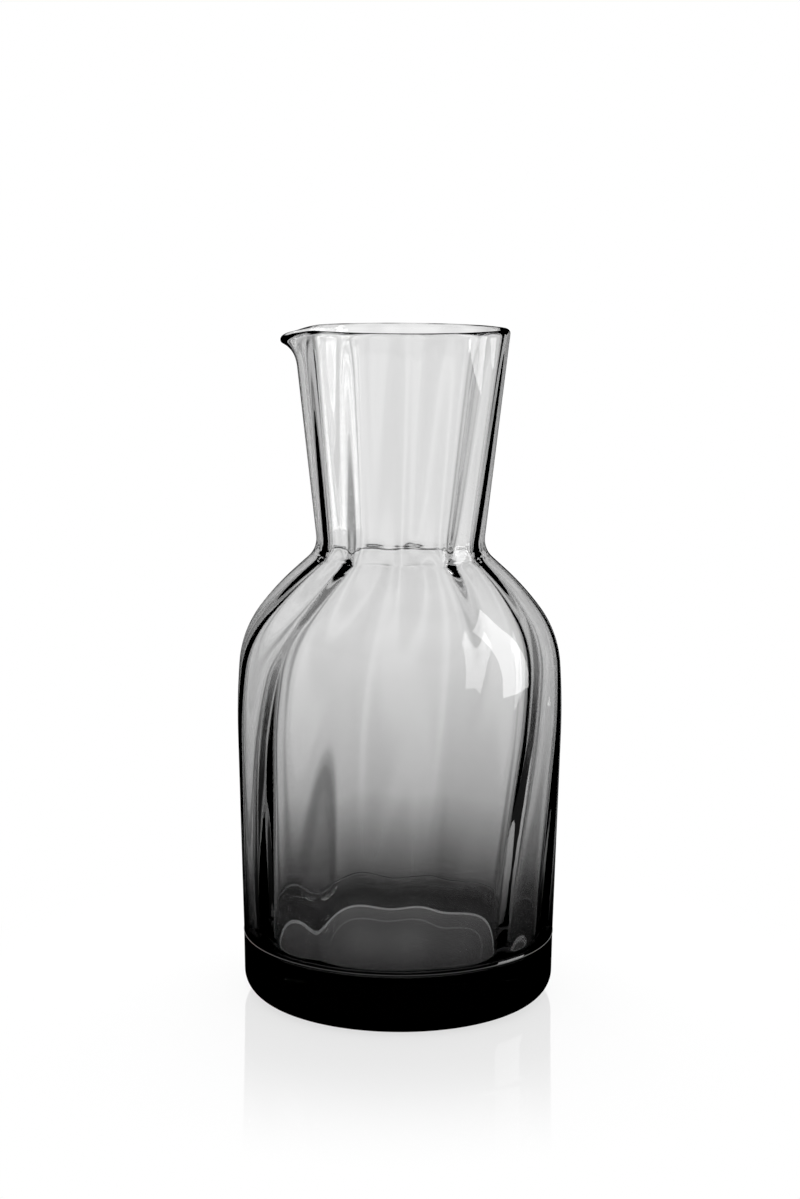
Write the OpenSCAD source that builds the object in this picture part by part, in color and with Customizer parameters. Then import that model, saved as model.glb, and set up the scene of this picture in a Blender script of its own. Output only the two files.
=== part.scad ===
// A water carafe of smoke-grey optic glass, blown in one piece: a heavy solid foot, a body that swells
// to a round shoulder, a neck that opens towards the rim, and a pouring lip drawn out of the rim.
// The outside is smooth and round. The inside carries soft ribs that twist from the floor to the rim.
// Origin: the centre of the flat underside. +Z is up, and the lip points along -X.

/* [Overall] */
// Height from the table to the top of the rim
height = 240; // [215:1:280]

/* [Foot] */
// Diameter of the foot just above its rounded corner
foot_d = 112; // [100:0.5:122]
// Radius of the rounded corner round the flat underside
foot_corner_r = 8; // [4:0.5:12]
// Height of the line that the mould leaves round the foot
seam_height = 22.7; // [18:0.1:30]
// How much the foot widens on each side between its corner and the seam
foot_flare = 0.2; // [0:0.1:1]
// Height of the mould line's raised edge
seam_bead = 0.15; // [0.05:0.05:0.4]

/* [Body] */
// How far the body swells out on each side beyond the seam
body_swell = 1.9; // [0.5:0.1:6]
// Height of the largest diameter
belly_height = 101; // [85:1:108]
// Radius of the slight outward curve at the widest part of the wall
belly_r = 263; // [200:1:300]

/* [Shoulder] */
// Slope from upright at which the wall turns into the shoulder
turn_start_angle = 4.2; // [3:0.1:6]
// Radius of the turn from the wall into the shoulder
turn_r = 37.2; // [30:0.2:40]
// Slope from upright at which the turn ends
turn_end_angle = 36.8; // [34:0.2:40]
// Radius of the flatter crown above the turn
crown_r = 95.6; // [80:0.2:100]
// Slope from upright of the straight run up to the neck
shoulder_angle = 47.8; // [46:0.2:54]

/* [Neck and rim] */
// Diameter at which the slopes of the shoulder and the neck would meet
neck_root_d = 58.9; // [54:0.1:62]
// Height at which they would meet
neck_root_height = 162; // [158:0.5:172]
// Radius of the hollow corner between shoulder and neck
neck_corner_r = 9.4; // [6:0.2:12]
// Outer diameter of the rim
rim_d = 76.4; // [70:0.2:84]

/* [Glass thickness] */
// Thickness of the solid floor
floor_thickness = 19.5; // [14:0.5:24]
// Radius of the corner between the floor and the wall, inside
cavity_corner_r = 8; // [5:0.5:10]
// Mean wall thickness just above the floor
wall_foot = 8; // [6:0.1:10]
// Mean wall thickness at the widest part of the body
wall_body = 3.7; // [3:0.1:4.5]
// Mean wall thickness at the root of the neck
wall_neck = 4.3; // [3:0.1:5]
// Wall thickness at the rim, which is fire-polished round
wall_rim = 3.2; // [2.4:0.1:3.8]

/* [Optic ribs] */
// Number of ribs round the inside
rib_count = 12; // [6:1:14]
// How far a rib stands in from the hollow beside it, in the body
rib_body = 1.4; // [0.6:0.1:2]
// The same in the neck
rib_neck = 1; // [0.5:0.1:1.6]
// The same at the rim, where the ribs fade
rib_rim = 0.8; // [0:0.1:1.2]
// Bearing of the first rib at the floor, in degrees from +X
rib_bearing = 15; // [0:1:45]
// Turn of the ribs from the floor to the lower body, in degrees
twist_foot = 7; // [0:1:20]
// Turn of the ribs from the lower body to the top of the wall
twist_body = 10; // [0:1:30]
// Turn of the ribs over the shoulder
twist_shoulder = 13; // [0:1:30]
// Turn of the ribs up the neck
twist_neck = 8; // [0:1:20]

/* [Pouring lip] */
// How far the lip stands out beyond the round rim
lip_reach = 5.3; // [3:0.1:8]
// How far the tip of the lip drops below the rim
lip_drop = 4; // [1:0.1:5]
// Height of the neck that the lip is drawn out of
lip_depth = 12; // [10:0.5:16]
// Width of the lip across the rim
lip_width = 46; // [30:1:60]

/* [Fineness] */
// Columns round each lofted surface
columns = 72; // [60:6:84]
// Steps of each rounded edge
round_steps = 6; // [4:1:8]

/* [Hidden] */
glass_colour = [0.36, 0.37, 0.38, 0.5];
full_turn = 360;
half_turn = 180;
lip_side = 180;
// Steps along the outline: its sharper curves, its gentle curves, its straight runs and the lip
curve_steps = 8;
gentle_steps = 5;
straight_steps = 9;
lip_steps = 7;
// How far the drawn part's faces lie inside those of the neck that carries it, and how deep it is rooted there
lip_seat = 0.05;
lip_root = 1;
// Share of the foot's extra wall that is left halfway from the floor to the belly
low_wall_share = 0.12;
// Share of a rib's depth that reaches the floor
floor_rib_share = 0.5;

// Radii and slopes that follow from the sizes above
foot_r = foot_d / 2;
seam_r = foot_r + foot_flare;
body_r = seam_r + body_swell;
rim_r = rim_d / 2;
root_r = neck_root_d / 2;
edge_r = wall_rim / 2;
wall_angle = -atan2(body_r - seam_r, belly_height - seam_height);
neck_angle = -atan2(rim_r - root_r, height - neck_root_height);

// A station is [radius, height, slope], where slope is the outward normal's angle above level.
// Each run of the outline starts where the one below it ends.
function arc(start, radius, from, to, steps) = [for (i = [0:steps])
    let (a = from + (to - from) * i / steps)
    [start[0] + radius * (cos(a) - cos(from)), start[1] + radius * (sin(a) - sin(from)), a]];
function run(start, end, angle, steps) = [for (i = [0:steps])
    [start[0] + (end[0] - start[0]) * i / steps, start[1] + (end[1] - start[1]) * i / steps, angle]];
function last(list) = list[len(list) - 1];
function rise(radius, from, to) = radius * (sin(to) - sin(from));
function reach(radius, from, to) = radius * (cos(to) - cos(from));

// The shoulder is worked out downwards from the root of the neck
wall_end_r = body_r - belly_r * (1 - cos(wall_angle));
shoulder_top_r = wall_end_r + reach(belly_r, wall_angle, turn_start_angle)
    + reach(turn_r, turn_start_angle, turn_end_angle) + reach(crown_r, turn_end_angle, shoulder_angle);
slope_run = (shoulder_top_r - root_r) / sin(shoulder_angle);
shoulder_top_z = neck_root_height - slope_run * cos(shoulder_angle);
wall_end_z = shoulder_top_z - rise(belly_r, wall_angle, turn_start_angle)
    - rise(turn_r, turn_start_angle, turn_end_angle) - rise(crown_r, turn_end_angle, shoulder_angle);
corner_run = neck_corner_r * tan((shoulder_angle - neck_angle) / 2);
corner_start = [root_r + corner_run * sin(shoulder_angle), neck_root_height - corner_run * cos(shoulder_angle)];
corner_end = [root_r - corner_run * sin(neck_angle), neck_root_height + corner_run * cos(neck_angle)];
lip_start_z = height - edge_r - lip_depth;
lip_start_r = root_r + (lip_start_z - neck_root_height) * tan(-neck_angle);

// The outline from the seam up to where the lip begins
belly = arc([wall_end_r, wall_end_z], belly_r, wall_angle, turn_start_angle, gentle_steps);
turn = arc(last(belly), turn_r, turn_start_angle, turn_end_angle, curve_steps);
crown = arc(last(turn), crown_r, turn_end_angle, shoulder_angle, gentle_steps);
slope = run(last(crown), corner_start, shoulder_angle, 1);
hollow_corner = [for (i = [0:curve_steps])
    let (a = shoulder_angle + (neck_angle - shoulder_angle) * i / curve_steps)
    [corner_start[0] + neck_corner_r * (cos(shoulder_angle) - cos(a)),
     corner_start[1] + neck_corner_r * (sin(shoulder_angle) - sin(a)), a]];
neck = run(corner_end, [lip_start_r, lip_start_z], neck_angle, straight_steps);
wall = run([seam_r, seam_height], [wall_end_r, wall_end_z], wall_angle, straight_steps);
function rest(list) = [for (i = [1:len(list) - 1]) list[i]];
outline = concat(wall, rest(belly), rest(turn), rest(crown), rest(slope), rest(hollow_corner), rest(neck));

// Wall thickness and rib depth by height, and the bearing of the first rib
cavity_low_z = floor_thickness + cavity_corner_r;
lower_body_z = (cavity_low_z + belly_height) / 2;
wall_by_height = [[cavity_low_z, wall_foot], [lower_body_z, wall_body + low_wall_share * (wall_foot - wall_body)],
    [belly_height, wall_body], [neck_root_height, wall_neck], [height, wall_rim]];
rib_by_height = [[floor_thickness, floor_rib_share * rib_body], [cavity_low_z, rib_body], [shoulder_top_z, rib_body],
    [neck_root_height, rib_neck], [lip_start_z, rib_neck], [height - edge_r, rib_rim]];
bearing_by_height = [[floor_thickness, rib_bearing], [lower_body_z, rib_bearing + twist_foot],
    [last(belly)[1], rib_bearing + twist_foot + twist_body],
    [neck_root_height, rib_bearing + twist_foot + twist_body + twist_shoulder],
    [height, rib_bearing + twist_foot + twist_body + twist_shoulder + twist_neck]];
// A rib's share of its depth at a bearing: +1/2 on the rib, -1/2 midway to the next
function rib(bearing, z) = cos(rib_count * (bearing - lookup(z, bearing_by_height))) / 2;
function thickness(bearing, z) = lookup(z, wall_by_height) + lookup(z, rib_by_height) * rib(bearing, z);

// Rings of points, one for each column
function bearings() = [for (i = [0:columns - 1]) full_turn * i / columns];
function ring(radius, z) = [for (b = bearings())
    let (r = radius - lookup(z, rib_by_height) * rib(b, z)) [r * cos(b), r * sin(b), z]];
function wall_ring(station) = [for (b = bearings())
    let (r = station[0] - thickness(b, station[1]) / cos(station[2])) [r * cos(b), r * sin(b), station[1]]];

// The lip: how strongly it draws a column out, and how far up the drawn part a height lies
lip_half_angle = asin(min(1, lip_width / rim_d));
function draw(bearing) = abs(bearing - lip_side) < lip_half_angle
    ? (1 + cos(half_turn * (bearing - lip_side) / lip_half_angle)) / 2 : 0;
function up(z) = min(1, max(0, (z - lip_start_z) / lip_depth));
lip_shift = lip_reach - edge_r;
// The outer face of the neck at a bearing and height, and the direction up the glass there
function lip_face(bearing, z) =
    let (r = root_r + (z - neck_root_height) * tan(-neck_angle))
    [r + lip_shift * draw(bearing) * pow(up(z), 2), z - lip_drop * draw(bearing) * pow(up(z), 2)];
function lip_way(bearing, z) =
    let (out = 2 * lip_shift * draw(bearing) * up(z) / lip_depth,
         rising = 1 - 2 * lip_drop * draw(bearing) * up(z) / lip_depth, size = norm([out, rising]))
    [out / size, rising / size];
// A point across the glass: depth 0 is the outer face and 1 the inner, over is how far past the height
function lip_point(bearing, z, depth, over) =
    let (face = lip_face(bearing, z), way = lip_way(bearing, z),
         w = (lip_seat + depth * (thickness(bearing, z) - 2 * lip_seat)) / cos(neck_angle),
         r = face[0] - w * way[1] + over * way[0])
    [r * cos(bearing), r * sin(bearing), face[1] + w * way[0] + over * way[1]];
function lip_ring(z, depth, over) = [for (b = bearings()) lip_point(b, z, depth, over)];
rim_z = height - edge_r;
lip_root_z = lip_start_z - lip_root;
lip_heights = [for (i = [0:lip_steps]) lip_root_z + (rim_z - lip_root_z) * i / lip_steps];
rim_edge_rings = [for (i = [1:round_steps - 1])
    let (a = half_turn * i / round_steps)
    lip_ring(rim_z, (1 - cos(a)) / 2, edge_r * sin(a))];
lip_rings = concat([for (z = lip_heights) lip_ring(z, 0, 0)], rim_edge_rings,
    [for (i = [lip_steps:-1:0]) lip_ring(lip_heights[i], 1, 0)]);

// The hollow: floor, corner and walls, which run on past the top of the round neck
past_z = lip_start_z + lip_root;
past_station = [lip_start_r + lip_root * tan(-neck_angle), past_z, neck_angle];
inner_stations = [for (i = [0:len(outline) - 2]) if (outline[i][1] > cavity_low_z + cavity_corner_r / 2) outline[i]];
foot_slope = (body_r - seam_r) / (belly_height - seam_height);
low_r = seam_r + (cavity_low_z - seam_height) * foot_slope - wall_foot;
corner_rings = [for (i = [0:round_steps])
    let (a = -90 + 90 * i / round_steps)
    ring(low_r - cavity_corner_r + cavity_corner_r * cos(a), cavity_low_z + cavity_corner_r * sin(a))];
hollow_rings = concat(corner_rings, [for (s = inner_stations) wall_ring(s)], [wall_ring(past_station)]);

// A closed solid from rings that run upwards, with a flat lid on each end
module loft(rings) {
    count = len(rings[0]);
    tops = len(rings) - 1;
    sides = [for (k = [0:tops - 1], i = [0:count - 1])
        let (j = (i + 1) % count, a = k * count, b = (k + 1) * count)
        each [[a + i, b + i, b + j], [a + i, b + j, a + j]]];
    low_lid = [for (i = [0:count - 1]) i];
    high_lid = [for (i = [count - 1:-1:0]) tops * count + i];
    polyhedron([for (r = rings) each r], concat(sides, [low_lid, high_lid]));
}

// A closed tube from rings whose last joins the first again
module tube_loft(rings) {
    count = len(rings[0]);
    total = len(rings);
    polyhedron([for (r = rings) each r], [for (k = [0:total - 1], i = [0:count - 1])
        let (j = (i + 1) % count, a = k * count, b = ((k + 1) % total) * count)
        each [[a + i, b + i, b + j], [a + i, b + j, a + j]]]);
}

// The round outside: foot, mould line, body, shoulder and neck
module outer_body() {
    corner = [for (i = [0:round_steps])
        let (a = -90 + 90 * i / round_steps)
        [foot_r - foot_corner_r + foot_corner_r * cos(a), foot_corner_r + foot_corner_r * sin(a)]];
    seam = [[seam_r, seam_height - seam_bead], [seam_r + seam_bead, seam_height]];
    wall_points = [for (i = [1:len(outline) - 1]) [outline[i][0], outline[i][1]]];
    rotate_extrude($fn = columns)
        polygon(concat([[0, 0]], corner, seam, [[seam_r, seam_height + seam_bead]], wall_points,
            [[0, lip_start_z]]));
}

module carafe() {
    color(glass_colour) union() {
        difference() {
            outer_body();
            loft(hollow_rings);
        }
        tube_loft(lip_rings);
    }
}

carafe();
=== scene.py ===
"""A water carafe of smoke-grey optic glass, modelled and finished over its packed construction model.

The glass is one blown piece. Its outside is round and smooth, and soft ribs twist up its inside, so
that whatever stands behind it is seen in slow waves. All lengths are in metres.
"""
import math

import bmesh
import bpy
from mathutils import Matrix, Vector


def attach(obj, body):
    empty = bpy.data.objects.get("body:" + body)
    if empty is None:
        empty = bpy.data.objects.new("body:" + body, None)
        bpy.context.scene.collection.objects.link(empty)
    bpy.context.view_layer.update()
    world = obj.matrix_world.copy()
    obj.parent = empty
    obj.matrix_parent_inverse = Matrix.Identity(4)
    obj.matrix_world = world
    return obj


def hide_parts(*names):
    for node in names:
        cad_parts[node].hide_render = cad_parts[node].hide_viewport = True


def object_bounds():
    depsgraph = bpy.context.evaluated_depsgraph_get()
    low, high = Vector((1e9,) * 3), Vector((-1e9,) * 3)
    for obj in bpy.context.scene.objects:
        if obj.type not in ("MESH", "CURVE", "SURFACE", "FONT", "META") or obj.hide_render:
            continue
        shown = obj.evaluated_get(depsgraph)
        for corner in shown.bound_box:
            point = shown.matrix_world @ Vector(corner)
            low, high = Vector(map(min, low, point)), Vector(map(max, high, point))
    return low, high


bl_info = {
    "name": "Optic Glass Carafe",
    "version": (1, 0, 0),
    "blender": (4, 5, 0),
    "location": "3D View > Sidebar > Carafe",
    "description": "Models a blown optic glass carafe and the plain stage that it stands on",
    "category": "Add Mesh",
}

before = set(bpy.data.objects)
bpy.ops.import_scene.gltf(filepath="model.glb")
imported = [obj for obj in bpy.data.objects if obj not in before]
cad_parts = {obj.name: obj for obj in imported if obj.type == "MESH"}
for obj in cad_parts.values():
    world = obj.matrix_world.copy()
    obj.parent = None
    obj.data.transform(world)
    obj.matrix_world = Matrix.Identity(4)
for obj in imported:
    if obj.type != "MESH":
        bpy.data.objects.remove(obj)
CAD_LOW, CAD_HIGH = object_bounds()
HEIGHT = CAD_HIGH.z - CAD_LOW.z
BODY_RADIUS = (CAD_HIGH.x - CAD_LOW.x) / 2


def linear(code):
    """The linear colour of an sRGB hex code such as "f4f4f2"."""
    values = [int(code[i:i + 2], 16) / 255 for i in (0, 2, 4)]
    return tuple(v / 12.92 if v <= 0.04045 else ((v + 0.055) / 1.055) ** 2.4 for v in values)


def length(name, description, default):
    """A size of the object, in metres."""
    return bpy.props.FloatProperty(name=name, description=description, default=default,
                                   unit="LENGTH", min=0.0, precision=5)


def angle(name, description, degrees):
    """An angle, stored in radians."""
    return bpy.props.FloatProperty(name=name, description=description, default=math.radians(degrees),
                                   unit="ROTATION", subtype="ANGLE")


def colour(name, description, code):
    """A colour, written as sRGB and stored as linear light."""
    return bpy.props.FloatVectorProperty(name=name, description=description, default=linear(code),
                                         subtype="COLOR", size=3, min=0.0, max=1.0)


class CarafeShape(bpy.types.PropertyGroup):
    """The sizes of the blown glass."""
    height: length("Height", "Table to the top of the rim", HEIGHT)
    foot_radius: length("Foot radius", "Radius just above the foot's rounded corner", 0.056)
    foot_corner: length("Foot corner", "Radius of the corner round the flat underside", 0.008)
    seam_height: length("Seam height", "Height of the line left by the mould", 0.0227)
    foot_flare: length("Foot flare", "How much the foot widens up to the seam", 0.0002)
    seam_bead: length("Seam bead", "Height of the mould line's raised edge", 0.00015)
    body_radius: length("Body radius", "Largest radius of the body", BODY_RADIUS)
    belly_height: length("Belly height", "Height of the largest radius", 0.101)
    belly_curve: length("Belly curve", "Radius of the wall's slight outward curve", 0.263)
    turn_start: angle("Turn start", "Slope from upright where the shoulder's turn begins", 4.2)
    turn_radius: length("Turn radius", "Radius of the turn from wall to shoulder", 0.0372)
    turn_end: angle("Turn end", "Slope from upright where that turn ends", 36.8)
    crown_radius: length("Crown radius", "Radius of the flatter crown above the turn", 0.0956)
    shoulder_slope: angle("Shoulder slope", "Slope from upright of the run up to the neck", 47.8)
    neck_root_radius: length("Neck root radius", "Where shoulder and neck lines would meet", 0.02945)
    neck_root_height: length("Neck root height", "Height at which they would meet", 0.162)
    neck_corner: length("Neck corner", "Radius of the hollow corner under the neck", 0.0094)
    rim_radius: length("Rim radius", "Outer radius of the rim", 0.0382)
    floor_thickness: length("Floor", "Thickness of the solid floor", 0.0195)
    floor_corner: length("Floor corner", "Radius between floor and wall, inside", 0.0055)
    wall_foot: length("Wall at the foot", "Mean wall just above the floor", 0.0085)
    wall_body: length("Wall at the belly", "Mean wall at the widest part", 0.0037)
    wall_neck: length("Wall at the neck", "Mean wall at the root of the neck", 0.0043)
    wall_rim: length("Wall at the rim", "Wall at the fire-polished rim", 0.0032)
    ribs: bpy.props.IntProperty(name="Ribs", description="Optic ribs round the inside", default=12, min=3)
    rib_body: length("Rib in the body", "Depth of a rib in the body", 0.0014)
    rib_neck: length("Rib in the neck", "Depth of a rib in the neck", 0.001)
    rib_rim: length("Rib at the rim", "Depth left where the ribs fade", 0.0008)
    rib_bearing: angle("Rib bearing", "Bearing of the first rib at the floor", 20)
    twist_foot: angle("Twist at the foot", "Turn of the ribs up to the lower body", 4)
    twist_body: angle("Twist in the body", "Turn from there to the top of the wall", 9)
    twist_shoulder: angle("Twist at the shoulder", "Turn over the shoulder", 12)
    twist_neck: angle("Twist in the neck", "Turn up the neck", 8)
    lip_reach: length("Lip reach", "How far the lip stands out beyond the rim", 0.0053)
    lip_drop: length("Lip drop", "How far the lip's tip lies below the rim", 0.004)
    lip_depth: length("Lip depth", "Height of the neck that the lip is drawn from", 0.012)
    lip_width: length("Lip width", "Width of the lip across the rim", 0.046)
    columns: bpy.props.IntProperty(name="Columns", description="Columns of faces round the glass",
                                   default=256, min=32)


class CarafeGlass(bpy.types.PropertyGroup):
    """The colour of the glass."""
    clear: colour("Neck tint", "What one wall lets through at the neck", "fefefe")
    dark: colour("Foot tint", "What one wall lets through at the foot", "101010")
    density: bpy.props.FloatProperty(name="Absorption", description="Absorption of the glass per metre",
                                     default=14.0, min=0.0)
    ior: bpy.props.FloatProperty(name="IOR", description="Refractive index of soda-lime glass",
                                 default=1.5, min=1.0)


class CarafeStage(bpy.types.PropertyGroup):
    """The plain stage, its light and the camera."""
    floor: colour("Floor", "Colour of the floor", "fefefe")
    daylight: bpy.props.FloatProperty(name="Daylight", description="Level of the light from all round",
                                      default=1.0, min=0.0)
    camera_distance: length("Camera distance", "From the carafe's axis", 0.8206)
    camera_height: length("Camera height", "Above the table", 0.2815)
    camera_offset: length("Camera offset", "Sideways from the carafe's axis", 0.0001)
    camera_pitch: angle("Camera pitch", "How far the camera looks down", 9.54)
    camera_roll: angle("Camera roll", "Turn of the camera about its own axis", 0.341)
    camera_lens: bpy.props.FloatProperty(name="Lens", description="Focal length for a 36 mm frame",
                                         default=70.0, unit="CAMERA")


# How the wall and the ribs run out into the floor, as shares.
LOW_WALL_SHARE = 0.5
FLOOR_RIB_SHARE = 0.5
FLOOR_RIB_START = 0.4

# Rows of faces along each stretch of the section, and how close two corners count as one, in metres.
STEPS_UNDERSIDE = 6
STEPS_CURVE = 16
STEPS_FOOT = 10
STEPS_WALL = 40
STEPS_GENTLE = 12
STEPS_SLOPE = 6
STEPS_NECK = 36
STEPS_LIP = 18
STEPS_EDGE = 10
STEPS_FLOOR = 14
MERGE_DISTANCE = 1e-7

# The smoke coat: a height up the side, or a radius on the underside, and the share of the clear tint there. On the
# underside the share is painted light: it is higher in the middle and in two thin rings, and clear in the outer
# one, so that light from the table draws a pale floor and bright lines inside the foot.
SIDE_COAT = ((0.0, 0.0), (0.019, 0.02), (0.023, 0.10), (0.035, 0.30), (0.0555, 0.68), (0.0675, 0.73),
             (0.085, 0.775), (0.102, 0.82), (0.119, 0.885), (0.140, 0.985), (0.155, 1.0), (0.172, 0.96))
UNDERSIDE_COAT_AND_PAINTED_LIGHT = ((0.0, 0.5), (0.012, 0.42), (0.022, 0.3), (0.0285, 0.28), (0.0290, 0.55), (0.0298, 0.55),
                  (0.0304, 0.3), (0.0412, 0.33), (0.0418, 1.0), (0.0432, 1.0), (0.0440, 0.0))
UNDERSIDE_TOP = 0.00002

# The mould line isn't fire-polished. Its reach to each side is a share of the bead's height.
SEAM_ROUGHNESS = 0.3
SEAM_REACH = 1.2

# The floor's diffuse colour, its own light and its gloss, and the radii between which these run out into white.
FLOOR_PAPER = 0.2
FLOOR_LIGHT = 0.69
FLOOR_GLOSS = 0.4
FLOOR_ROUGHNESS = 0.05
FLOOR_FADE = (0.075, 0.17)
FLOOR_RADIUS = 6.0
FLOOR_DROP = 0.0001

# The flags: sheets that stand round the axis and end in a tall outer wall, seen only through the glass. They are
# painted shade: their shades, set by bearing and height, draw the glass's edges and ribs as dark lines. Bearings
# are in degrees from straight behind. A stop is a bearing and a share: 0 is white, and 1 is the dark level at that
# height.
FLAG_NEAR = 0.07
FLAG_FAR = 0.35
FLAG_HEIGHT = 0.6
FLAG_FROM = 1
FLAG_TO = 75
FLAG_STEPS = 24
FLAG_LEVELS = (0.03, 0.25)
FLAG_LEVEL_HEIGHTS = (0.03, 0.12)
FLAG_STOPS = {
    -1: ((1, 0), (7, 0.12), (13, 0.15), (26, 0.7), (34, 0.9), (41, 0.35), (49, 0.35), (56, 1), (75, 1)),
    1: ((1, 0), (7, 0.12), (15, 0.15), (30, 0.6), (35, 0.8), (41, 0.35), (49, 0.35), (56, 1), (75, 1)),
}

# The hood, a dark room that closes just under the carafe and over the floor: a painted dark reflection, seen only
# in sharp reflections in the glass. The grey card overhead: painted shade, seen only through the glass.
HOOD_RADIUS = 2.5
HOOD_BOTTOM = -0.00005
CEILING_HEIGHT = 0.9
CEILING_RADIUS = 1.2
CEILING_LEVEL = 0.5

# The soft window at the right front.
WINDOW_PLACE = (1.0, -0.045, 0.62)
WINDOW_WIDTH = 0.45
WINDOW_HEIGHT = 1.25
WINDOW_POWER = 8.5

WHITE = (*linear("ffffff"), 1.0)
BLACK = (*linear("000000"), 1.0)


def arc(start, radius, angle_from, angle_to, steps):
    """Stations [radius, height, slope] along an arc that starts at a station and bulges outwards."""
    stations = []
    for i in range(1, steps + 1):
        a = angle_from + (angle_to - angle_from) * i / steps
        stations.append((start[0] + radius * (math.cos(a) - math.cos(angle_from)),
                         start[1] + radius * (math.sin(a) - math.sin(angle_from)), a))
    return stations


def run(start, end, slope, steps):
    """Stations along a straight run, after its start."""
    return [(start[0] + (end[0] - start[0]) * i / steps,
             start[1] + (end[1] - start[1]) * i / steps, slope) for i in range(1, steps + 1)]


def eased(stops, z):
    """A smooth value at height z through (height, value) stops, flat beyond the ends."""
    if z <= stops[0][0]:
        return stops[0][1]
    if z >= stops[-1][0]:
        return stops[-1][1]
    k = max(i for i in range(len(stops) - 1) if stops[i][0] <= z)
    slopes = []
    for j in (k, k + 1):
        low, high = stops[max(j - 1, 0)], stops[min(j + 1, len(stops) - 1)]
        slopes.append((high[1] - low[1]) / (high[0] - low[0]))
    (z0, v0), (z1, v1) = stops[k], stops[k + 1]
    step = z1 - z0
    t = (z - z0) / step
    return (v0 * (1 + 2 * t) * (1 - t) ** 2 + v1 * t * t * (3 - 2 * t)
            + step * (slopes[0] * t * (1 - t) ** 2 - slopes[1] * t * t * (1 - t)))


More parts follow.
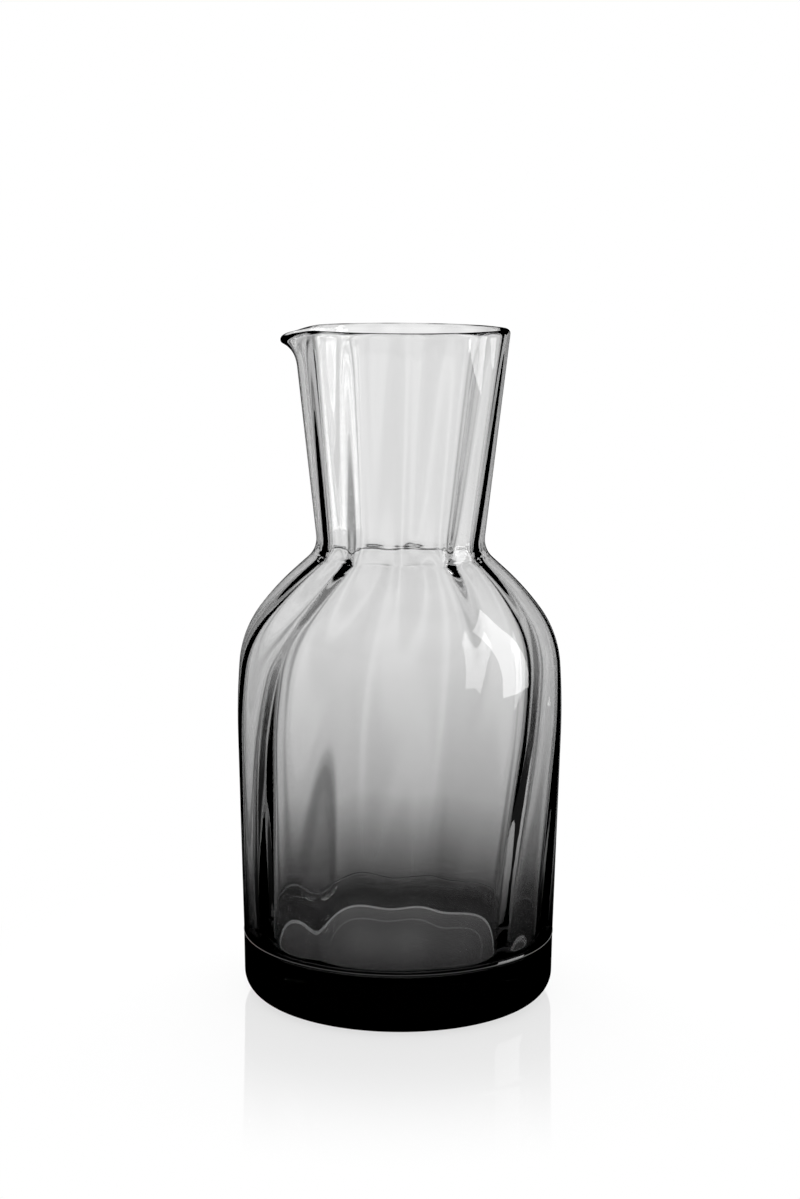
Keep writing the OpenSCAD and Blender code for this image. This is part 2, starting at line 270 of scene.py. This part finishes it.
class Glass:
    """The form of the glass, worked out from its sizes."""

    def __init__(self, s):
        self.s = s
        self.seam_radius = s.foot_radius + s.foot_flare
        self.wall_slope = -math.atan2(s.body_radius - self.seam_radius, s.belly_height - s.seam_height)
        self.neck_slope = -math.atan2(s.rim_radius - s.neck_root_radius, s.height - s.neck_root_height)
        self.edge = s.wall_rim / 2
        self.lip_start = s.height - self.edge - s.lip_depth
        self.lip_half_angle = math.asin(min(1.0, s.lip_width / s.rim_radius / 2))
        self.lip_shift = s.lip_reach - self.edge
        self.outline = self.make_outline()
        low = s.floor_thickness + s.floor_corner
        self.low = low
        middle = (low + s.belly_height) / 2
        wall_middle = s.wall_body + LOW_WALL_SHARE * (s.wall_foot - s.wall_body)
        self.walls = [(low, s.wall_foot), (middle, wall_middle), (s.belly_height, s.wall_body),
                      (s.neck_root_height, s.wall_neck), (s.height, s.wall_rim)]
        self.rib_depths = [(s.floor_thickness, s.rib_body * FLOOR_RIB_SHARE), (low, s.rib_body),
                           (self.shoulder_top, s.rib_body), (s.neck_root_height, s.rib_neck),
                           (self.lip_start, s.rib_neck), (s.height - self.edge, s.rib_rim)]
        turns = [s.rib_bearing, s.twist_foot, s.twist_body, s.twist_shoulder, s.twist_neck]
        self.bearings = [(z, sum(turns[:i + 1])) for i, z in enumerate(
            [s.floor_thickness, middle, self.belly_top, s.neck_root_height, s.height])]

    def neck_radius(self, z):
        """The straight neck's outer radius at a height."""
        return self.s.neck_root_radius + (z - self.s.neck_root_height) * math.tan(-self.neck_slope)

    def make_outline(self):
        """The outside as stations from the seam up to where the lip begins."""
        s = self.s
        bends = ((s.belly_curve, self.wall_slope, s.turn_start, STEPS_GENTLE),
                 (s.turn_radius, s.turn_start, s.turn_end, STEPS_CURVE),
                 (s.crown_radius, s.turn_end, s.shoulder_slope, STEPS_GENTLE))
        wall_end_radius = s.body_radius - s.belly_curve * (1 - math.cos(self.wall_slope))
        top_radius = wall_end_radius + sum(r * (math.cos(b) - math.cos(a)) for r, a, b, n in bends)
        slope_run = (top_radius - s.neck_root_radius) / math.sin(s.shoulder_slope)
        self.shoulder_top = s.neck_root_height - slope_run * math.cos(s.shoulder_slope)
        rise = sum(r * (math.sin(b) - math.sin(a)) for r, a, b, n in bends)
        wall_end = (wall_end_radius, self.shoulder_top - rise)
        stations = [(self.seam_radius, s.seam_height, self.wall_slope)]
        stations += run(stations[0], wall_end, self.wall_slope, STEPS_WALL)
        for number, (radius, start, end, steps) in enumerate(bends):
            stations += arc(stations[-1], radius, start, end, steps)
            if number == 0:
                self.belly_top = stations[-1][1]
        tangent = s.neck_corner * math.tan((s.shoulder_slope - self.neck_slope) / 2)
        corner = (s.neck_root_radius + tangent * math.sin(s.shoulder_slope),
                  s.neck_root_height - tangent * math.cos(s.shoulder_slope))
        stations += run(stations[-1], corner, s.shoulder_slope, STEPS_SLOPE)
        stations += arc(stations[-1], -s.neck_corner, s.shoulder_slope, self.neck_slope, STEPS_CURVE)
        stations += run(stations[-1], (self.neck_radius(self.lip_start), self.lip_start),
                        self.neck_slope, STEPS_NECK)
        return stations

    def section(self, z):
        """Mean wall, rib depth and bearing of the first rib at a height."""
        return eased(self.walls, z), eased(self.rib_depths, z), eased(self.bearings, z)

    def rows(self):
        """One row for each ring of the mesh, from the underside round the rim to the cavity floor."""
        s = self.s
        rows = []

        def fixed(radius, z):
            rows.append(lambda b: (radius, z))

        def inner(station):
            radius, z, slope = station
            wall, depth, first = self.section(z)
            lean = math.cos(slope)
            rows.append(lambda b: (radius - (wall + depth / 2 * math.cos(s.ribs * (b - first))) / lean, z))

        def hollow(radius, z):
            wall, depth, first = self.section(z)
            depth *= min(1.0, radius / (FLOOR_RIB_START * s.foot_radius)) ** 2
            rows.append(lambda b: (radius - depth / 2 * math.cos(s.ribs * (b - first)), z))

        def lip(z, across, over):
            wall, depth, first = self.section(z)
            rows.append(lambda b: self.lip_point(
                b, z, across * (wall + depth / 2 * math.cos(s.ribs * (b - first))), over))

        foot_flat = s.foot_radius - s.foot_corner
        fixed(0.0, 0.0)
        for i in range(1, STEPS_UNDERSIDE):
            fixed(foot_flat * i / STEPS_UNDERSIDE, 0.0)
        for i in range(STEPS_CURVE + 1):
            a = math.pi / 2 * (i / STEPS_CURVE - 1)
            fixed(foot_flat + s.foot_corner * math.cos(a), s.foot_corner * (1 + math.sin(a)))
        for radius, z, slope in run((s.foot_radius, s.foot_corner),
                                    (self.seam_radius, s.seam_height - s.seam_bead), 0.0, STEPS_FOOT):
            fixed(radius, z)
        fixed(self.seam_radius + s.seam_bead, s.seam_height)
        fixed(self.seam_radius, s.seam_height + s.seam_bead)
        for radius, z, slope in self.outline[1:-1]:
            fixed(radius, z)
        heights = [self.lip_start + s.lip_depth * i / STEPS_LIP for i in range(STEPS_LIP + 1)]
        for z in heights:
            lip(z, 0.0, 0.0)
        for i in range(1, STEPS_EDGE):
            a = math.pi * i / STEPS_EDGE
            lip(heights[-1], (1 - math.cos(a)) / 2, self.edge * math.sin(a))
        self.first_inner = len(rows)
        for z in reversed(heights):
            lip(z, 1.0, 0.0)
        for station in reversed(self.outline[1:-1]):
            if station[1] > self.low + s.floor_corner / 2:
                inner(station)
        outward = (s.body_radius - self.seam_radius) / (s.belly_height - s.seam_height)
        low_radius = self.seam_radius + (self.low - s.seam_height) * outward - s.wall_foot
        for i in range(STEPS_CURVE + 1):
            a = -math.pi / 2 * i / STEPS_CURVE
            hollow(low_radius - s.floor_corner * (1 - math.cos(a)), self.low + s.floor_corner * math.sin(a))
        for i in range(STEPS_FLOOR - 1, -1, -1):
            hollow((low_radius - s.floor_corner) * i / STEPS_FLOOR, s.floor_thickness)
        return rows

    def lip_point(self, bearing, z, depth, over):
        """A point of the drawn neck: how deep in the glass it lies, and how far over the rim's height."""
        s = self.s
        aside = abs(bearing) - math.pi
        draw = 0.0
        if abs(aside) < self.lip_half_angle:
            draw = (1 + math.cos(math.pi * aside / self.lip_half_angle)) / 2
        up = min(1.0, max(0.0, (z - self.lip_start) / s.lip_depth))
        out = 2 * self.lip_shift * draw * up / s.lip_depth
        rising = 1 - 2 * s.lip_drop * draw * up / s.lip_depth
        size = math.hypot(out, rising)
        out, rising = out / size, rising / size
        depth = depth / math.cos(self.neck_slope)
        radius = self.neck_radius(z) + self.lip_shift * draw * up ** 2 - depth * rising + over * out
        return radius, z - s.lip_drop * draw * up ** 2 + depth * out + over * rising


def add_piece(name, bm, material):
    """Makes a smooth-shaded object from a bmesh, which it frees."""
    mesh = bpy.data.meshes.new(name)
    bm.to_mesh(mesh)
    bm.free()
    mesh.polygons.foreach_set("use_smooth", [True] * len(mesh.polygons))
    mesh.update()
    mesh.materials.append(material)
    piece = bpy.data.objects.new(name, mesh)
    bpy.context.scene.collection.objects.link(piece)
    return piece


def add_node(tree, kind, settings=None, links=None):
    """Adds a node: settings name its sockets or properties, links its inputs and what feeds them."""
    node = tree.nodes.new(kind)
    for name, value in (settings or {}).items():
        if isinstance(name, int) or name in node.inputs:
            node.inputs[name].default_value = value
        else:
            setattr(node, name, value)
    for name, source in (links or {}).items():
        tree.links.new(source, node.inputs[name])
    return node


def new_material(name):
    """An empty node material and its tree."""
    material = bpy.data.materials.new(name)
    material.use_nodes = True
    material.node_tree.nodes.clear()
    return material, material.node_tree


def set_stops(ramp, stops):
    """Gives a colour ramp its stops, each a position from 0 to 1 and a linear colour."""
    elements = ramp.color_ramp.elements
    while len(elements) < len(stops):
        elements.new(0.5)
    for element, (position, color) in zip(elements, stops):
        element.position = position
        element.color = (*color, 1.0)


def coat_tint(tree, glass, stops, span, value):
    """The coat's tint along a length: each stop is a place in metres and its share of the clear tint."""
    level = add_node(tree, "ShaderNodeMapRange", {"From Max": span}, {"Value": value})
    ramp = add_node(tree, "ShaderNodeValToRGB", links={"Fac": level.outputs["Result"]})
    set_stops(ramp, [(place / span, [d + (c - d) * share for c, d in zip(glass.clear, glass.dark)])
                     for place, share in stops])
    return ramp.outputs["Color"]


def smoke_glass(s, glass):
    """Soda-lime glass, mould-blown and fire-polished, with a smoke-grey coat on its outer surface.

    The surface is perfectly smooth, so all its character is in what it bends and dims: the coat
    deepens from the neck down to a foot that looks black. Only the mould line is a little rough, and
    shows as a thin light line. The underside's tint is painted light: it is lighter in the middle and in
    two thin rings, so that light from the table draws the pale floor inside and its bright lines.
    """
    material, tree = new_material("smoke_glass_blown")
    place = add_node(tree, "ShaderNodeTexCoord")
    axes = add_node(tree, "ShaderNodeSeparateXYZ", links={"Vector": place.outputs["Object"]})
    flat = add_node(tree, "ShaderNodeCombineXYZ", links={"X": axes.outputs["X"], "Y": axes.outputs["Y"]})
    radius = add_node(tree, "ShaderNodeVectorMath", {"operation": "LENGTH"}, {0: flat.outputs["Vector"]})
    side = coat_tint(tree, glass, SIDE_COAT, s.height, axes.outputs["Z"])
    # The underside's tint is painted light: lighter in the middle and in two thin rings.
    underside = coat_tint(tree, glass, UNDERSIDE_COAT_AND_PAINTED_LIGHT, s.foot_radius, radius.outputs["Value"])
    above = add_node(tree, "ShaderNodeMath", {"operation": "GREATER_THAN", 1: UNDERSIDE_TOP},
                     {0: axes.outputs["Z"]})
    coat = add_node(tree, "ShaderNodeMix", {"data_type": "RGBA"},
                    {0: above.outputs[0], 6: underside, 7: side})
    # The shader gives each surface the root of its colour, so the coat's is squared.
    coat = add_node(tree, "ShaderNodeVectorMath", {"operation": "MULTIPLY"},
                    {0: coat.outputs[2], 1: coat.outputs[2]})
    inside = add_node(tree, "ShaderNodeAttribute", {"attribute_name": "inside"})
    level = add_node(tree, "ShaderNodeMath",
                     {"operation": "COMPARE", 1: s.seam_height, 2: SEAM_REACH * s.seam_bead},
                     {0: axes.outputs["Z"]})
    seam = add_node(tree, "ShaderNodeMath", {"operation": "SUBTRACT", "use_clamp": True},
                    {0: level.outputs[0], 1: inside.outputs["Fac"]})
    off_seam = add_node(tree, "ShaderNodeMath", {"operation": "SUBTRACT", 0: 1.0}, {1: seam.outputs[0]})
    coat = add_node(tree, "ShaderNodeVectorMath", {"operation": "SCALE"},
                    {0: coat.outputs["Vector"], "Scale": off_seam.outputs[0]})
    tint = add_node(tree, "ShaderNodeMix", {"data_type": "RGBA", 7: WHITE},
                    {0: inside.outputs["Fac"], 6: coat.outputs["Vector"]})
    rough = add_node(tree, "ShaderNodeMapRange", {"To Max": SEAM_ROUGHNESS}, {"Value": seam.outputs[0]})
    surface = add_node(tree, "ShaderNodeBsdfPrincipled", {"IOR": glass.ior, "Transmission Weight": 1.0},
                       {"Base Color": tint.outputs[2], "Roughness": rough.outputs["Result"]})
    smoke = add_node(tree, "ShaderNodeVolumeAbsorption", {"Color": BLACK, "Density": glass.density})
    add_node(tree, "ShaderNodeOutputMaterial",
             links={"Surface": surface.outputs["BSDF"], "Volume": smoke.outputs["Volume"]})
    return material


def show_only_to(piece, rays):
    """Leaves a card of the stage to one kind of ray, such as what glass reflects or lets through."""
    for kind in ("camera", "diffuse", "glossy", "transmission", "shadow"):
        setattr(piece, "visible_" + kind, kind == rays)


class CARAFE_OT_glass(bpy.types.Operator):
    """Model the blown glass: foot, ribbed body, shoulder, neck and pouring lip"""
    bl_idname = "carafe.glass"
    bl_label = "Blown glass"

    def execute(self, context):
        s = context.scene.carafe_shape
        form = Glass(s)
        rows = form.rows()
        bm = bmesh.new()
        inside = bm.verts.layers.float.new("inside")
        bmesh.ops.create_grid(bm, x_segments=s.columns, y_segments=len(rows) - 1, size=1.0)
        for vert in bm.verts:
            bearing = math.pi * vert.co.x
            row = round((vert.co.y + 1) / 2 * (len(rows) - 1))
            vert[inside] = float(row >= form.first_inner)
            radius, z = rows[row](bearing)
            vert.co = (radius * math.cos(bearing), radius * math.sin(bearing), z)
        bmesh.ops.remove_doubles(bm, verts=bm.verts, dist=MERGE_DISTANCE)
        bmesh.ops.recalc_face_normals(bm, faces=bm.faces)
        piece = add_piece("carafe_glass", bm, smoke_glass(s, context.scene.carafe_glass))
        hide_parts("carafe")
        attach(piece, "root")
        return {"FINISHED"}


class CARAFE_OT_stage(bpy.types.Operator):
    """Set the pale floor, the soft light round it and the camera"""
    bl_idname = "carafe.stage"
    bl_label = "Stage"

    def execute(self, context):
        stage = context.scene.carafe_stage
        self.world(context, stage)
        self.floor(stage)
        self.flags()
        self.hood()
        self.ceiling()
        self.window(context)
        self.camera(context, stage)
        return {"FINISHED"}

    def world(self, context, stage):
        """Even daylight; the camera, and what glass reflects or shows, see plain white."""
        world = bpy.data.worlds.new("studio")
        context.scene.world = world
        world.use_nodes = True
        tree = world.node_tree
        tree.nodes.clear()
        path = add_node(tree, "ShaderNodeLightPath")
        seen = add_node(tree, "ShaderNodeMath", {"operation": "ADD", "use_clamp": True},
                        {0: path.outputs["Is Camera Ray"], 1: path.outputs["Is Glossy Ray"]})
        seen = add_node(tree, "ShaderNodeMath", {"operation": "ADD", "use_clamp": True},
                        {0: seen.outputs[0], 1: path.outputs["Is Transmission Ray"]})
        level = add_node(tree, "ShaderNodeMapRange", {"To Min": stage.daylight, "To Max": 1.0},
                         {"Value": seen.outputs[0]})
        light = add_node(tree, "ShaderNodeBackground", {"Color": WHITE},
                         {"Strength": level.outputs["Result"]})
        add_node(tree, "ShaderNodeOutputWorld", links={"Surface": light.outputs["Background"]})

    def floor(self, stage):
        """A white floor of satin acrylic, lit from below, that runs out into the white background.

        It is bright enough to hide all but a soft shadow, and shows a faint, slightly blurred reflection
        that fades away from the carafe.
        """
        material, tree = new_material("floor_satin_acrylic")
        place = add_node(tree, "ShaderNodeTexCoord")
        away = add_node(tree, "ShaderNodeVectorMath", {"operation": "LENGTH"},
                        {0: place.outputs["Object"]})
        fade = add_node(tree, "ShaderNodeMapRange",
                        {"From Min": FLOOR_FADE[0], "From Max": FLOOR_FADE[1],
                         "interpolation_type": "SMOOTHSTEP"},
                        {"Value": away.outputs["Value"]})
        sheet = add_node(tree, "ShaderNodeBsdfPrincipled",
                         {"Base Color": (*[c * FLOOR_PAPER for c in stage.floor], 1.0),
                          "Roughness": FLOOR_ROUGHNESS, "IOR": 1.5, "Specular IOR Level": FLOOR_GLOSS,
                          "Emission Color": WHITE, "Emission Strength": FLOOR_LIGHT})
        white = add_node(tree, "ShaderNodeEmission", {"Color": WHITE, "Strength": 1.0})
        blend = add_node(tree, "ShaderNodeMixShader", {},
                         {0: fade.outputs["Result"], 1: sheet.outputs["BSDF"], 2: white.outputs["Emission"]})
        add_node(tree, "ShaderNodeOutputMaterial", links={"Surface": blend.outputs["Shader"]})
        bm = bmesh.new()
        bmesh.ops.create_circle(bm, cap_ends=True, segments=96, radius=FLOOR_RADIUS)
        bmesh.ops.translate(bm, verts=bm.verts, vec=(0.0, 0.0, -FLOOR_DROP))
        add_piece("floor", bm, material)

    def flags(self):
        """Painted shade: sheets seen only through the glass, whose shades fall off to grey by bearing and draw the
        glass's edges and ribs as dark lines.
        """
        for side in (-1, 1):
            start = math.radians(90 - side * FLAG_FROM)
            way = Vector((math.cos(start), math.sin(start), 0.0))
            corners = [way * FLAG_NEAR, way * FLAG_FAR, way * FLAG_FAR + Vector((0.0, 0.0, FLAG_HEIGHT))]
            bm = bmesh.new()
            verts = [bm.verts.new(corner) for corner in corners]
            edges = [bm.edges.new(pair) for pair in zip(verts, verts[1:])]
            bmesh.ops.spin(bm, geom=verts + edges, cent=(0, 0, 0), axis=(0, 0, 1), dvec=(0, 0, 0),
                           angle=-side * math.radians(FLAG_TO - FLAG_FROM), steps=FLAG_STEPS,
                           use_merge=False, use_normal_flip=False, use_duplicate=False)
            flag = add_piece("flag", bm, self.painted_shade_flag(side))
            # Painted shade: the flag is seen only through the glass.
            show_only_to(flag, "transmission")

    def painted_shade_flag(self, side):
        """Painted shade for the flags: a dim glow whose level follows the bearing, and which is darkest near the
        table.
        """
        material, tree = new_material("flag_card_painted_shade")
        place = add_node(tree, "ShaderNodeTexCoord")
        axes = add_node(tree, "ShaderNodeSeparateXYZ", links={"Vector": place.outputs["Object"]})
        bearing = add_node(tree, "ShaderNodeMath", {"operation": "ARCTAN2"},
                           {0: axes.outputs["X"], 1: axes.outputs["Y"]})
        bearing = add_node(tree, "ShaderNodeMath", {"operation": "ABSOLUTE"}, {0: bearing.outputs[0]})
        turn = add_node(tree, "ShaderNodeMapRange", {"From Max": math.pi / 2}, {"Value": bearing.outputs[0]})
        shade = add_node(tree, "ShaderNodeValToRGB", links={"Fac": turn.outputs["Result"]})
        shade.color_ramp.interpolation = "EASE"
        set_stops(shade, [(degrees / 90, (share, share, share)) for degrees, share in FLAG_STOPS[side]])
        dark = add_node(tree, "ShaderNodeMapRange",
                        {"From Min": FLAG_LEVEL_HEIGHTS[0], "From Max": FLAG_LEVEL_HEIGHTS[1],
                         "To Min": FLAG_LEVELS[0], "To Max": FLAG_LEVELS[1],
                         "interpolation_type": "SMOOTHSTEP"},
                        {"Value": axes.outputs["Z"]})
        level = add_node(tree, "ShaderNodeMapRange", {"To Min": 1.0},
                         {"Value": shade.outputs["Color"], "To Max": dark.outputs["Result"]})
        # Painted shade: the glow's level draws the glass's edges and ribs as dark lines.
        shade_glow = add_node(tree, "ShaderNodeEmission", {"Color": WHITE}, {"Strength": level.outputs["Result"]})
        add_node(tree, "ShaderNodeOutputMaterial", links={"Surface": shade_glow.outputs["Emission"]})
        return material

    def hood(self):
        """Painted dark reflection: a dark room all round, which only sharp reflections in the glass show, while
        the camera and the floor see white.
        """
        material, tree = new_material("hood_painted_dark_reflection")
        path = add_node(tree, "ShaderNodeLightPath")
        clear = add_node(tree, "ShaderNodeBsdfTransparent")
        dark = add_node(tree, "ShaderNodeEmission", {"Color": BLACK, "Strength": 0.0})
        # Painted dark reflection: black for sharp reflections, clear for every other ray.
        blend = add_node(tree, "ShaderNodeMixShader", {},
                         {0: path.outputs["Is Singular Ray"], 1: clear.outputs["BSDF"],
                          2: dark.outputs["Emission"]})
        add_node(tree, "ShaderNodeOutputMaterial", links={"Surface": blend.outputs["Shader"]})
        bm = bmesh.new()
        bmesh.ops.create_uvsphere(bm, u_segments=64, v_segments=32, radius=HOOD_RADIUS)
        cut = bmesh.ops.bisect_plane(bm, geom=bm.verts[:] + bm.edges[:] + bm.faces[:],
                                     plane_co=(0, 0, HOOD_BOTTOM), plane_no=(0, 0, -1), clear_outer=True)
        rim = [part for part in cut["geom_cut"] if isinstance(part, bmesh.types.BMEdge)]
        bmesh.ops.contextual_create(bm, geom=rim)
        hood = add_piece("hood", bm, material)
        show_only_to(hood, "glossy")

    def ceiling(self):
        """Painted shade: a grey card overhead, seen only through the glass, which the rim and the neck's root show
        as dark lines.
        """
        material, tree = new_material("ceiling_painted_shade_card")
        # Painted shade: a grey glow that is seen only through the glass.
        card = add_node(tree, "ShaderNodeEmission", {"Color": WHITE, "Strength": CEILING_LEVEL})
        add_node(tree, "ShaderNodeOutputMaterial", links={"Surface": card.outputs["Emission"]})
        bm = bmesh.new()
        bmesh.ops.create_circle(bm, cap_ends=True, segments=48, radius=CEILING_RADIUS)
        bmesh.ops.translate(bm, verts=bm.verts, vec=(0.0, 0.0, CEILING_HEIGHT))
        ceiling = add_piece("ceiling", bm, material)
        show_only_to(ceiling, "transmission")

    def window(self, context):
        """A tall soft window at the right front, which draws the light shape on the shoulder."""
        data = bpy.data.lights.new("window", "AREA")
        data.shape = "RECTANGLE"
        data.size = WINDOW_WIDTH
        data.size_y = WINDOW_HEIGHT
        data.energy = WINDOW_POWER
        lamp = bpy.data.objects.new("window", data)
        aim = Vector((-1.0, 0.0, 0.0)).to_track_quat("-Z", "Y")
        lamp.matrix_world = Matrix.Translation(WINDOW_PLACE) @ aim.to_matrix().to_4x4()
        lamp.visible_diffuse = False
        context.scene.collection.objects.link(lamp)

    def camera(self, context, stage):
        """The camera at the photograph's place and angle."""
        data = bpy.data.cameras.new("camera")
        data.lens = stage.camera_lens
        data.sensor_width = 36.0
        camera = bpy.data.objects.new("camera", data)
        place = Vector((-stage.camera_offset, -stage.camera_distance, stage.camera_height))
        camera.matrix_world = (Matrix.Translation(place)
                               @ Matrix.Rotation(math.pi / 2 - stage.camera_pitch, 4, "X")
                               @ Matrix.Rotation(stage.camera_roll, 4, "Z"))
        context.scene.collection.objects.link(camera)
        context.scene.camera = camera
        context.scene.view_settings.view_transform = "Standard"


class CARAFE_PT_panel(bpy.types.Panel):
    """Sizes, colours and steps of the carafe"""
    bl_idname = "CARAFE_PT_panel"
    bl_label = "Optic Glass Carafe"
    bl_space_type = "VIEW_3D"
    bl_region_type = "UI"
    bl_category = "Carafe"

    def draw(self, context):
        for group, title, operator in ((context.scene.carafe_shape, "Shape", "carafe.glass"),
                                       (context.scene.carafe_glass, "Glass", None),
                                       (context.scene.carafe_stage, "Stage", "carafe.stage")):
            box = self.layout.box()
            box.label(text=title)
            for name in group.__annotations__:
                box.prop(group, name)
            if operator:
                box.operator(operator)


GROUPS = {"carafe_shape": CarafeShape, "carafe_glass": CarafeGlass, "carafe_stage": CarafeStage}
CLASSES = (*GROUPS.values(), CARAFE_OT_glass, CARAFE_OT_stage, CARAFE_PT_panel)


def register():
    for cls in CLASSES:
        bpy.utils.register_class(cls)
    for name, group in GROUPS.items():
        setattr(bpy.types.Scene, name, bpy.props.PointerProperty(type=group))


def unregister():
    for name in GROUPS:
        delattr(bpy.types.Scene, name)
    for cls in reversed(CLASSES):
        bpy.utils.unregister_class(cls)


def main():
    register()
    bpy.ops.carafe.glass()
    bpy.ops.carafe.stage()


if __name__ == "__main__":
    main()
